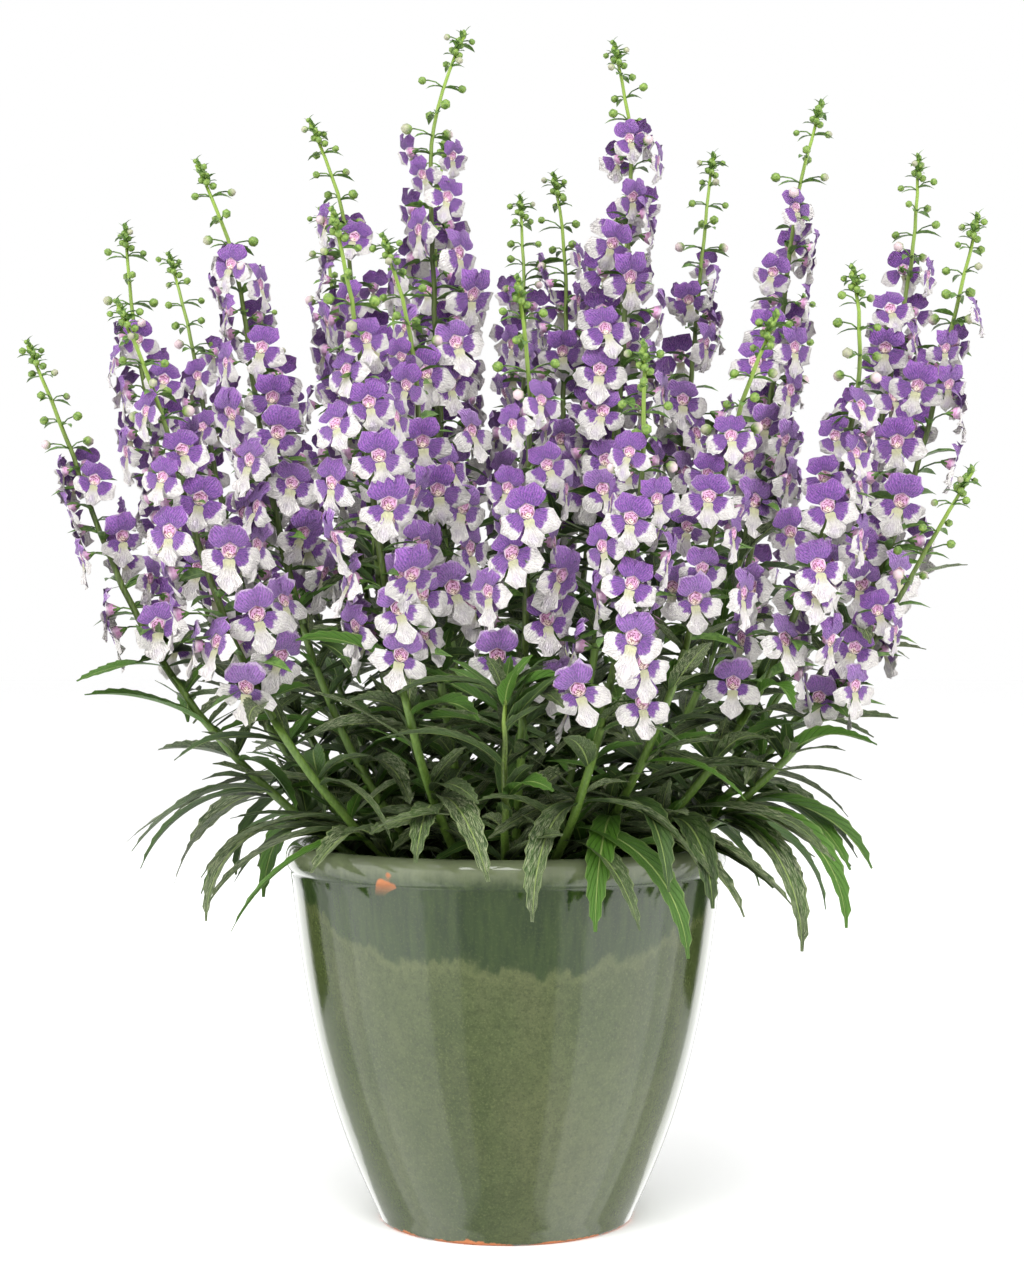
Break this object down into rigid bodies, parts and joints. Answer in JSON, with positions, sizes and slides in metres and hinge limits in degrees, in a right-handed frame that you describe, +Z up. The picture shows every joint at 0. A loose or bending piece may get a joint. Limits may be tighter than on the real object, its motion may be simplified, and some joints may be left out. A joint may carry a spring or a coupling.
{
  "type": "potted flowering plant",
  "caption": "Potted angelonia with upright flower spikes over narrow leaves, in a round glazed planter with a rolled rim.",
  "frame": {"origin": "centre of the whole plant's bounding box in plan, which is on the pot's axis, at the plane that the pot stands on", "axes": "+Z up along the pot's axis; +X to the right and +Y away from someone who looks at the plant's front"},
  "size_m": [0.4706, 0.3796, 0.591],
  "materials": {
    "glaze": "gloss",
    "soil": "matte",
    "leaf": "satin",
    "petal": "matte"
  },
  "bodies": {
    "root": {"pot": "glaze", "soil": "soil", "leafy_stem_01": "leaf", "flower_spike_01": "petal", "leafy_stem_02": "leaf", "flower_spike_02": "petal", "leafy_stem_03": "leaf", "flower_spike_03": "petal", "leafy_stem_04": "leaf", "flower_spike_04": "petal", "leafy_stem_05": "leaf", "flower_spike_05": "petal", "leafy_stem_06": "leaf", "flower_spike_06": "petal", "leafy_stem_07": "leaf", "flower_spike_07": "petal", "leafy_stem_08": "leaf", "flower_spike_08": "petal", "leafy_stem_09": "leaf", "flower_spike_09": "petal", "leafy_stem_10": "leaf", "flower_spike_10": "petal", "leafy_stem_11": "leaf", "flower_spike_11": "petal", "leafy_stem_12": "leaf", "flower_spike_12": "petal", "leafy_stem_13": "leaf", "flower_spike_13": "petal", "leafy_stem_14": "leaf", "flower_spike_14": "petal", "leafy_stem_15": "leaf", "flower_spike_15": "petal", "leafy_stem_16": "leaf", "flower_spike_16": "petal", "leafy_stem_17": "leaf", "flower_spike_17": "petal", "leafy_stem_18": "leaf", "flower_spike_18": "petal", "leafy_stem_19": "leaf", "flower_spike_19": "petal", "leafy_stem_20": "leaf", "flower_spike_20": "petal", "leafy_stem_21": "leaf", "flower_spike_21": "petal", "leafy_stem_22": "leaf", "flower_spike_22": "petal", "leafy_stem_23": "leaf", "flower_spike_23": "petal", "leafy_stem_24": "leaf", "flower_spike_24": "petal", "leafy_stem_25": "leaf", "flower_spike_25": "petal", "leafy_stem_26": "leaf", "flower_spike_26": "petal", "leafy_stem_27": "leaf", "flower_spike_27": "petal", "leafy_stem_28": "leaf", "flower_spike_28": "petal", "leafy_shoot_1": "leaf", "leafy_shoot_2": "leaf"}
  },
  "joints": []
}
